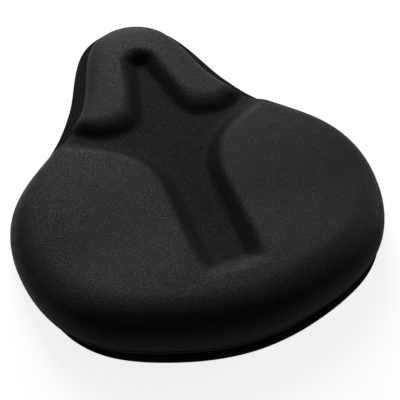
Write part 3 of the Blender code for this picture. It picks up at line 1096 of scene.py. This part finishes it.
@dataclass
class MouldedPad:
    """Moulded foam, the knit skin bonded over it and the lining underneath."""

    form: PadForm
    skin_roll_rings: int = 28
    skin_inner_rings: int = 52
    foam_detail: int = 3
    foam_roll_rings: int = 18
    foam_inner_rings: int = 34
    base_rings: int = 22
    recess_height: float = 0.0120
    recess_edge: float = 0.4
    lining_drop: float = 0.00035
    lining_thickness: float = 0.0010
    dot_pitch: float = 0.0085
    dot_row_share: float = 0.866
    dot_span: float = 0.15
    dot_radius: float = 0.0013
    dot_height: float = 0.0005
    dot_margin: float = 0.014
    dot_sides: int = 10
    dot_profile: tuple[Pair, ...] = ((1.0, -0.4), (0.92, 0.35), (0.62, 0.8), (0.25, 1.0))
    dot_samples: int = 4
    slope_step: float = 0.0005
    steep_shade_slope: float = 0.70
    knit: KnitFinish = KnitFinish()
    foam: PileFinish = PileFinish("moulded_foam", (0.55, 0.53, 0.48), 0.95, 0.0011, 0.0002)
    lining: PileFinish = PileFinish("backing_cloth", (0.030, 0.030, 0.032), 0.85, 0.0007, 0.00012, 0.15)

    def build(self) -> None:
        """Build the skin, the foam and the lining."""
        self.build_skin()
        under = self.foam_rows()
        base = self.base_rows(under)
        self.build_foam(under, base)
        self.build_lining(base)

    def build_skin(self) -> None:
        """The knit skin over the moulded top and sides."""
        rows = self.form.top_rows(self.form.detail, self.skin_roll_rings, self.skin_inner_rings)
        mesh = rows.mesh("knit_skin", 1)
        self.mark_relief(mesh)
        skin = place("knit_skin", mesh, self.knit.material())
        thicken(skin, self.form.skin_thickness)
        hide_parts("top_cover")

    def mark_relief(self, mesh: Mesh) -> None:
        """Store how far each point is pressed down, and a mask of painted shade on its wall.

        The mask grows with the slope of walls that face sideways or fall towards the rear, out of the key
        light; a fall towards the nose gets none.

        Args:
            mesh: The skin's mesh.
        """
        places = np.zeros(len(mesh.vertices) * 3)
        mesh.vertices.foreach_get("co", places)
        side = np.abs(places[0::3])
        back = self.form.back(places[1::3])
        relief = self.form.relief
        store(mesh, "pressed", relief.pressed(side, back) ** 2)
        step = self.slope_step
        along = relief.sink(side, back + step) - relief.sink(side, back - step)
        across = relief.sink(side + step, back) - relief.sink(np.abs(side - step), back)
        # painted shade mask: the knit's material darkens these walls by their slope
        slope = np.hypot(np.maximum(along, 0), across) / (2 * step)
        store(mesh, "steep", smooth_step(slope / self.steep_shade_slope))

    def foam_rows(self) -> Rows:
        """The foam's upper surface, just inside the skin.

        Returns:
            Its rings, from the seam to the spine.
        """
        rows = self.form.top_rows(self.foam_detail, self.foam_roll_rings, self.foam_inner_rings)
        normal = rows.normals()
        normal *= np.sign(normal[-3, :, 2].mean())
        normal[-1] = (0.0, 0.0, 1.0)
        rows.points = rows.points - normal * (self.form.skin_thickness + self.form.clearance)
        line = self.form.seam_line(self.foam_detail)
        rows.points[0, :, 2] = self.form.seam_height.at(line.back)
        return rows

    def base_rows(self, under: Rows) -> Rows:
        """The foam's underside, from its edge up into the recess for the saddle.

        Args:
            under: The foam's upper surface.

        Returns:
            The rings of the underside.
        """
        edge = under.points[0]
        spine = under.points[-1]
        rings = []
        for share in np.linspace(0, 1, self.base_rings):
            plan = edge[:, :2] * (1 - share) + spine[:, :2] * share
            lift = smooth_step(share / self.recess_edge)
            height = edge[:, 2] + (self.recess_height - edge[:, 2]) * lift
            rings.append(np.column_stack((plan, height)))
        return Rows(np.array(rings), folded=True)

    def build_foam(self, under: Rows, base: Rows) -> None:
        """The closed foam body between the skin and the lining.

        Args:
            under: The foam's upper surface.
            base: Its underside.
        """
        mesh = welded_mesh("foam_body", [under.mesh("foam_top", 1), base.mesh("foam_base", -1)])
        foam = place("foam_body", mesh, self.foam.material())
        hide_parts("foam_core")

    def build_lining(self, base: Rows) -> None:
        """The backing cloth with its printed rubber dots.

        Args:
            base: The foam's underside.
        """
        down = self.lining_drop + self.lining_thickness
        rows = Rows(base.points - np.array((0.0, 0.0, down)), folded=True)
        cloth = place("backing_cloth", rows.mesh("backing_cloth", -1), self.lining.material())
        thicken(cloth, self.lining_thickness)
        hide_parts("base_lining")
        place("grip_dots", self.dot_mesh(rows), RUBBER.material())

    def dot_mesh(self, rows: Rows) -> Mesh:
        """Low rubber domes in staggered rows over the lining's middle.

        Args:
            rows: The lining's lower surface.

        Returns:
            One mesh of closed domes.
        """
        spots = rows.points.reshape(-1, 3)
        edge = rows.points[0]
        right = edge[: len(edge) // 2 + 1][::-1]
        turns = np.linspace(0, 2 * np.pi, self.dot_sides, endpoint=False)
        lines = np.arange(edge[:, 1].min(), edge[:, 1].max(), self.dot_pitch * self.dot_row_share)
        points, faces = [], []
        for number, y in enumerate(lines):
            half = np.interp(y, right[:, 1], right[:, 0])
            shift = self.dot_pitch / 2 * (number % 2)
            for x in np.arange(shift - self.dot_span, self.dot_span, self.dot_pitch):
                away = np.linalg.norm(edge[:, :2] - (x, y), axis=1).min()
                if abs(x) > half or away < self.dot_margin:
                    continue
                nearest = np.argsort(np.linalg.norm(spots[:, :2] - (x, y), axis=1))[:self.dot_samples]
                level = spots[nearest, 2].mean()
                faces.extend(tube_faces(len(points), len(self.dot_profile), self.dot_sides))
                for share, drop in self.dot_profile:
                    reach = self.dot_radius * share
                    height = level - self.dot_height * drop
                    for turn in turns:
                        points.append((x + reach * math.cos(turn), y + reach * math.sin(turn), height))
        return tube_mesh("grip_dots", points, faces)


@dataclass
class SeamCord:
    """Thin corded piping sewn into the seam between the skin and the band."""

    form: PadForm
    sides: int = 12
    finish: CordFinish = CordFinish()

    def build(self) -> None:
        """Build the piping."""
        line = self.form.seam_line(self.form.detail)
        radius = self.form.piping_diameter / 2
        level = self.form.seam_height.at(line.back) - self.form.clearance - radius
        rings = []
        for turn in np.linspace(0, 2 * np.pi, self.sides, endpoint=False):
            plan = line.moved(radius * math.cos(turn) - self.form.seam_pinch)
            rings.append(np.column_stack((plan, level + radius * math.sin(turn))))
        rows = Rows(np.array(rings))
        rows.follow()
        mesh = rows.mesh("piping_cord", 0, closed_across=True)
        cord = place("piping_cord", mesh, self.finish.material())
        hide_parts("seam_piping")


@dataclass
class StretchBand:
    """Ribbed band below the seam, turned in underneath and gathered by its elastic."""

    form: PadForm
    detail: int = 9
    thickness: float = 0.0012
    lip: float = 0.0008
    centre_shift: float = 0.0006
    widest_share: float = 0.3
    under_round: float = 0.0025
    ribs: int = 6
    rib_height: float = 0.00080
    rib_power: float = 0.8
    side_steps: int = 30
    turn_steps: int = 8
    flat_steps: int = 12
    gather_pitch: float = 0.0060
    gather_height: float = 0.0009
    gather_rise: float = 1.5
    gather_main: float = 0.32
    gather_slow: float = 0.18
    slow_share: float = 0.61
    slow_turn: float = 1.3
    casing_sides: int = 16
    casing_power: float = 0.7
    casing_pucker: float = 0.16
    stitch_rows: Pair = (0.0014, 0.0034)
    stitch: Stitch = Stitch(lift=-0.0001)
    rib_finish: RibFinish = RibFinish()
    casing_finish: WovenFinish = WovenFinish("elastic_casing", (0.020, 0.020, 0.021))

    def build(self) -> None:
        """Build the band, the gathered casing of its elastic and their stitches."""
        self.build_band()
        self.build_casing()
        self.build_stitches()

    @cached_property
    def line(self) -> SeamLine:
        """The seam line, as fine as the band's gathers need it."""
        return self.form.seam_line(self.detail)

    @cached_property
    def inset(self) -> np.ndarray:
        """How far in from the seam the hem lies at each point of the line."""
        return self.form.hem_inset.at(self.line.back)

    @cached_property
    def gathers(self) -> np.ndarray:
        """How far the cloth is puckered up at each point round the hem, from 0 to 1.

        Returns:
            One share for each point of the line.
        """
        steps = np.linalg.norm(np.roll(self.line.points, -1, axis=0) - self.line.points, axis=1)
        share = np.concatenate(((0.0,), np.cumsum(steps)[:-1])) / steps.sum()
        count = round(steps.sum() / self.gather_pitch)
        main = np.sin(2 * np.pi * count * share)
        slow = np.sin(2 * np.pi * round(count * self.slow_share) * share + self.slow_turn)
        return 0.5 + self.gather_main * main + self.gather_slow * slow

    @staticmethod
    def quarter_turn(start: tuple, end: tuple, steps: int, upright_first: bool) -> list[tuple]:
        """Points of a quarter ellipse from one place to another, without the first.

        Args:
            start: Reach and height of its start.
            end: Reach and height of its end.
            steps: How many points it has.
            upright_first: Whether it leaves its start upright.

        Returns:
            Reach and height of each point.
        """
        points = []
        for step in range(1, steps + 1):
            angle = np.pi / 2 * step / steps
            slow, fast = 1 - np.cos(angle), np.sin(angle)
            across, down = (slow, fast) if upright_first else (fast, slow)
            reach = start[0] + (end[0] - start[0]) * across
            points.append((reach, start[1] + (end[1] - start[1]) * down))
        return points

    def build_band(self) -> None:
        """The ribbed cloth from the seam down and in to the hem."""
        seam = self.form.seam_height.at(self.line.back)
        reach = self.form.band_reach.at(self.line.back)
        flat = np.zeros(len(seam))
        start = flat - self.form.seam_pinch + self.centre_shift
        top = seam - self.form.piping_diameter - 2 * self.form.clearance
        lip = (start, top - self.lip)
        widest = (reach, seam * self.widest_share)
        under = (reach - self.under_round, flat)
        profile = [(start, top), lip]
        profile += self.quarter_turn(lip, widest, self.side_steps, False)
        profile += self.quarter_turn(widest, under, self.turn_steps, True)
        wall = len(profile)
        for share in np.linspace(0, 1, self.flat_steps + 1)[1:]:
            lift = self.gather_height * self.gathers * share**self.gather_rise
            profile.append((under[0] + (-self.inset - under[0]) * share, lift))
        rows = Rows(np.array([np.column_stack((self.line.moved(out), height)) for out, height in profile]))
        rows.follow()
        valleys = self.cut_ribs(rows, wall)
        mesh = rows.mesh("ribbed_band", -1)
        # the valley depths also drive the painted shade in the band's rib valleys
        store(mesh, "rib_valley_shade", valleys)
        band = place("ribbed_band", mesh, self.rib_finish.material())
        thicken(band, self.thickness)
        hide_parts("side_band")

    def cut_ribs(self, rows: Rows, wall: int) -> np.ndarray:
        """Press the valleys between the ribs into the band's wall.

        Args:
            rows: The band's rings.
            wall: How many of them lie on the wall.

        Returns:
            How deep each point lies in a valley, from 0 to 1.
        """
        face = rows.normals()
        outward = (face[:, :, :2] * self.line.normal[None]).sum(axis=2)[wall // 2]
        face *= np.sign(outward)[None, :, None]
        steps = np.linalg.norm(np.diff(rows.points[:wall], axis=0), axis=2)
        gone = np.concatenate((np.zeros((1, steps.shape[1])), np.cumsum(steps, axis=0)))
        valleys = np.zeros(rows.points.shape[:2])
        valleys[:wall] = 1 - np.abs(np.sin(np.pi * self.ribs * gone / gone[-1])) ** self.rib_power
        rows.points -= face * (self.rib_height * valleys)[:, :, None]
        rows.points[:, :, 2] = np.maximum(rows.points[:, :, 2], 0.0)
        return valleys

    def build_casing(self) -> None:
        """The puckered casing round the elastic at the saddle opening."""
        half_width = self.form.elastic_width / 2
        half_height = self.form.elastic_height / 2
        centre = self.inset + self.form.clearance + half_width
        pucker = 1 - self.casing_pucker * self.gathers
        rings = []
        for turn in np.linspace(0, 2 * np.pi, self.casing_sides, endpoint=False):
            out = half_width * boxed(math.cos(turn), self.casing_power)
            up = half_height * boxed(math.sin(turn), self.casing_power)
            rings.append(np.column_stack((self.line.moved(out * pucker - centre), half_height + up * pucker)))
        rows = Rows(np.array(rings))
        rows.follow()
        mesh = rows.mesh("elastic_casing", 0, closed_across=True)
        casing = place("elastic_casing", mesh, self.casing_finish.material())
        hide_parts("hem_elastic")

    def build_stitches(self) -> None:
        """Two rows of stitches that hold the band round its elastic."""
        paths = []
        for offset in self.stitch_rows:
            plan = self.line.moved(offset - self.inset)
            path = np.column_stack((plan, self.gather_height * self.gathers))
            paths.append(np.vstack((path, path[:1])))
        place("hem_stitches", self.stitch.mesh("hem_stitches", paths), THREAD.material())


@dataclass
class StrapPair:
    """Two webbing straps that close over each other across the saddle opening."""

    label: str
    sewn_length: float = 0.0100
    thickness: float = 0.0010
    bend: float = 0.0030
    overlap: float = 0.0400
    corner: float = 0.0040
    path_steps: int = 90
    sides: int = 40
    face_power: float = 0.25
    edge_power: float = 0.6
    tack_margin: float = 0.0018
    tack: Stitch = Stitch(lift=0.0001, length=0.0022, gap=0.0007)
    webbing: WovenFinish = WovenFinish("strap_webbing", (0.020, 0.020, 0.022), thread=0.0013)

    def build(self) -> None:
        """Build both halves and their sewn ends."""
        for half in StrapHalf:
            self.build_half(half)
        self.build_tacks()

    def node(self, half: StrapHalf) -> str:
        """The name of a half's solid."""
        return f"{self.label}_strap_{half.name.lower()}"

    def build_half(self, half: StrapHalf) -> None:
        """One strap, along the line that its solid follows.

        Args:
            half: The side that it is sewn to.
        """
        low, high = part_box(self.node(half))
        x = np.linspace(low.x, high.x, self.path_steps)
        level = np.full(len(x), low.z)
        free = high.x - x
        if half is StrapHalf.RIGHT:
            start = self.overlap / 2 + self.bend
            end = high.x - self.sewn_length - self.bend
            drop = smooth_step((x - start) / (end - start))
            level = (high.z - self.thickness) * (1 - drop) + low.z * drop
            free = x - low.x
        short = np.clip(self.corner - free, 0, self.corner)
        half_width = (high.y - low.y) / 2 - self.corner + np.sqrt(np.maximum(self.corner**2 - short**2, 0))
        rings = []
        for turn in np.linspace(0, 2 * np.pi, self.sides, endpoint=False):
            across = boxed(math.cos(turn), self.face_power) * half_width
            up = boxed(math.sin(turn), self.edge_power) * self.thickness / 2
            rings.append(np.column_stack((x, (low.y + high.y) / 2 + across, level + self.thickness / 2 + up)))
        points = np.array(rings).transpose(1, 0, 2).reshape(-1, 3).tolist()
        mesh = tube_mesh(self.node(half), points, tube_faces(0, self.path_steps, self.sides))
        strap = place(f"{self.label}_webbing_{half.name.lower()}", mesh, self.webbing.material())
        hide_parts(self.node(half))

    def build_tacks(self) -> None:
        """The sewn boxes with crossed stitches at the straps' fixed ends."""
        paths = []
        for half in StrapHalf:
            low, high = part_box(self.node(half))
            outer = high.x if half is StrapHalf.RIGHT else low.x
            ends = (outer - half.value * self.tack_margin, outer - half.value * self.sewn_length)
            sides = (low.y + self.tack_margin, high.y - self.tack_margin)
            level = low.z + self.thickness
            plan = ((ends[0], sides[0]), (ends[1], sides[0]), (ends[1], sides[1]), (ends[0], sides[1]))
            corners = [(x, y, level) for x, y in plan]
            pairs = ((0, 1), (1, 2), (2, 3), (3, 0), (0, 2), (1, 3))
            paths.extend(np.array((corners[a], corners[b])) for a, b in pairs)
        mesh = self.tack.mesh(f"{self.label}_tacks", paths)
        place(f"{self.label}_strap_tacks", mesh, THREAD.material())


@dataclass
class FastenerPatches:
    """The hook and loop patches that lie between the straps' ends."""

    labels: tuple[str, ...] = ("front", "rear")
    loop: PileFinish = PileFinish("loop_pile", (0.030, 0.030, 0.032), 0.95, 0.0007, 0.0003, 0.3)
    hook: PileFinish = PileFinish("moulded_hooks", (0.012, 0.012, 0.013), 0.5, 0.0012, 0.0004)

    def build(self, nodes: dict[str, bpy.types.Object]) -> None:
        """Dress the solids that keep their own shape.

        Args:
            nodes: The frame's nodes by name.
        """
        finishes = {"loop": self.loop.material(), "hook": self.hook.material()}
        for label in self.labels:
            for kind, material in finishes.items():
                patch = nodes[f"{label}_{kind}_patch"]
                patch.data.materials.clear()
                patch.data.materials.append(material)


@dataclass(frozen=True)
class SoftLight:
    """A square soft light that looks at the cushion, with its power in watts."""

    name: str
    spot: Triple
    power: float
    size: float

    def build(self) -> None:
        """Put the light into the scene."""
        light = bpy.data.lights.new(self.name, "AREA")
        light.energy = self.power
        light.shape = "SQUARE"
        light.size = self.size
        item = bpy.data.objects.new(self.name, light)
        item.location = self.spot
        item.rotation_euler = (-Vector(self.spot)).to_track_quat("-Z", "Y").to_euler()
        bpy.context.scene.collection.objects.link(item)


@dataclass
class Studio:
    """Pale floor, soft lights and the camera of the photograph's viewing angle."""

    camera_place: Triple = (-0.1311, -0.3463, 0.4764)
    camera_elevation: float = 54.409
    camera_yaw: float = 23.665
    camera_roll: float = 4.515
    lens: float = 67.35
    sensor: float = 36.0
    white: tuple[float, float, float, float] = (1.0, 1.0, 1.0, 1.0)
    floor_size: float = 12.0
    floor_colour: Triple = (0.90, 0.90, 0.90)
    floor_roughness: float = 0.9
    floor_glow: float = 0.85
    ambient: float = 0.022
    backdrop: float = 0.885
    bounce_drop: float = 0.3
    near_bounce: float = 0.135
    far_bounce: float = 1.0
    lights: tuple[SoftLight, ...] = (
        SoftLight("key_light", (0.20, 1.50, 0.94), 10.6, 0.9),
        SoftLight("edge_light", (1.60, 0.35, 0.32), 2.0, 0.6),
        SoftLight("front_light", (0.45, 1.95, 0.36), 4.5, 1.2),
    )

    def build(self) -> None:
        """Build the floor, the lights, the surround and the camera, for plain colours."""
        bpy.context.scene.view_settings.view_transform = "Standard"
        self.build_floor()
        for light in self.lights:
            light.build()
        self.build_world()
        self.build_camera()

    def build_floor(self) -> None:
        """A plain pale floor that the cushion lies on."""
        shade = Shade("pale_floor", self.floor_colour, self.floor_roughness)
        shade.shader.inputs["Emission Color"].default_value = self.white
        shade.shader.inputs["Emission Strength"].default_value = self.floor_glow
        half = self.floor_size / 2
        mesh = bpy.data.meshes.new("floor")
        corners = [(-half, -half, 0.0), (half, -half, 0.0), (half, half, 0.0), (-half, half, 0.0)]
        mesh.from_pydata(corners, [], [(0, 1, 2, 3)])
        mesh.materials.append(shade.material)
        floor = bpy.data.objects.new("floor", mesh)
        bpy.context.scene.collection.objects.link(floor)
        floor.visible_diffuse = False
        floor.visible_glossy = False

    def build_world(self) -> None:
        """A dim surround that gives back the floor's light from below, most past the nose.

        The camera sees a pale backdrop in its place.
        """
        world = bpy.data.worlds.new("studio")
        world.use_nodes = True
        tree = Nodes(world.node_tree)
        way = tree.node("ShaderNodeTexCoord").outputs["Generated"]
        ways = tree.node("ShaderNodeSeparateXYZ", Vector=way).outputs
        ahead = tree.node("ShaderNodeMapRange", Value=ways["Y"])
        tree.feed(ahead.inputs["To Min"], self.near_bounce)
        tree.feed(ahead.inputs["To Max"], self.far_bounce)
        below = tree.node("ShaderNodeMapRange", Value=ways["Z"], From_Max=-self.bounce_drop)
        tree.feed(below.inputs["To Min"], self.ambient)
        tree.feed(below.inputs["To Max"], ahead.outputs["Result"])
        dim = tree.node("ShaderNodeBackground", Color=self.white, Strength=below.outputs["Result"])
        pale = tree.node("ShaderNodeBackground", Color=self.white, Strength=self.backdrop)
        mix = tree.node("ShaderNodeMixShader", Fac=tree.node("ShaderNodeLightPath").outputs["Is Camera Ray"])
        tree.feed(mix.inputs[1], dim.outputs["Background"])
        tree.feed(mix.inputs[2], pale.outputs["Background"])
        tree.feed(world.node_tree.nodes["World Output"].inputs["Surface"], mix.outputs["Shader"])
        bpy.context.scene.world = world

    def build_camera(self) -> None:
        """The camera, turned by elevation, yaw and roll."""
        rise = math.radians(self.camera_elevation)
        yaw = math.radians(self.camera_yaw)
        roll = math.radians(self.camera_roll)
        back = Vector((-math.sin(yaw) * math.cos(rise), -math.cos(yaw) * math.cos(rise), math.sin(rise)))
        right = Vector((math.cos(yaw), -math.sin(yaw), 0.0))
        above = back.cross(right)
        turned_right = math.cos(roll) * right + math.sin(roll) * above
        turned_above = math.cos(roll) * above - math.sin(roll) * right
        turn = Matrix((turned_right, turned_above, back)).transposed()
        data = bpy.data.cameras.new("camera")
        data.lens = self.lens
        data.sensor_width = self.sensor
        camera = bpy.data.objects.new("camera", data)
        camera.matrix_world = Matrix.Translation(self.camera_place) @ turn.to_4x4()
        bpy.context.scene.collection.objects.link(camera)
        bpy.context.scene.camera = camera


def clear_scene() -> None:
    """Remove every object that the scene holds."""
    for item in list(bpy.data.objects):
        bpy.data.objects.remove(item, do_unlink=True)


def main() -> None:
    """Build the cushion, piece by piece, and the studio round it."""
    logging.basicConfig(level=logging.INFO, format="%(name)s: %(message)s")
    clear_scene()
    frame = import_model()
    form = PadForm()
    MouldedPad(form).build()
    SeamCord(form).build()
    StretchBand(form).build()
    for label in ("front", "rear"):
        StrapPair(label).build()
    FastenerPatches().build(frame["nodes"])
    Studio().build()
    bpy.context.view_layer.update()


if __name__ == "__main__":
    main()
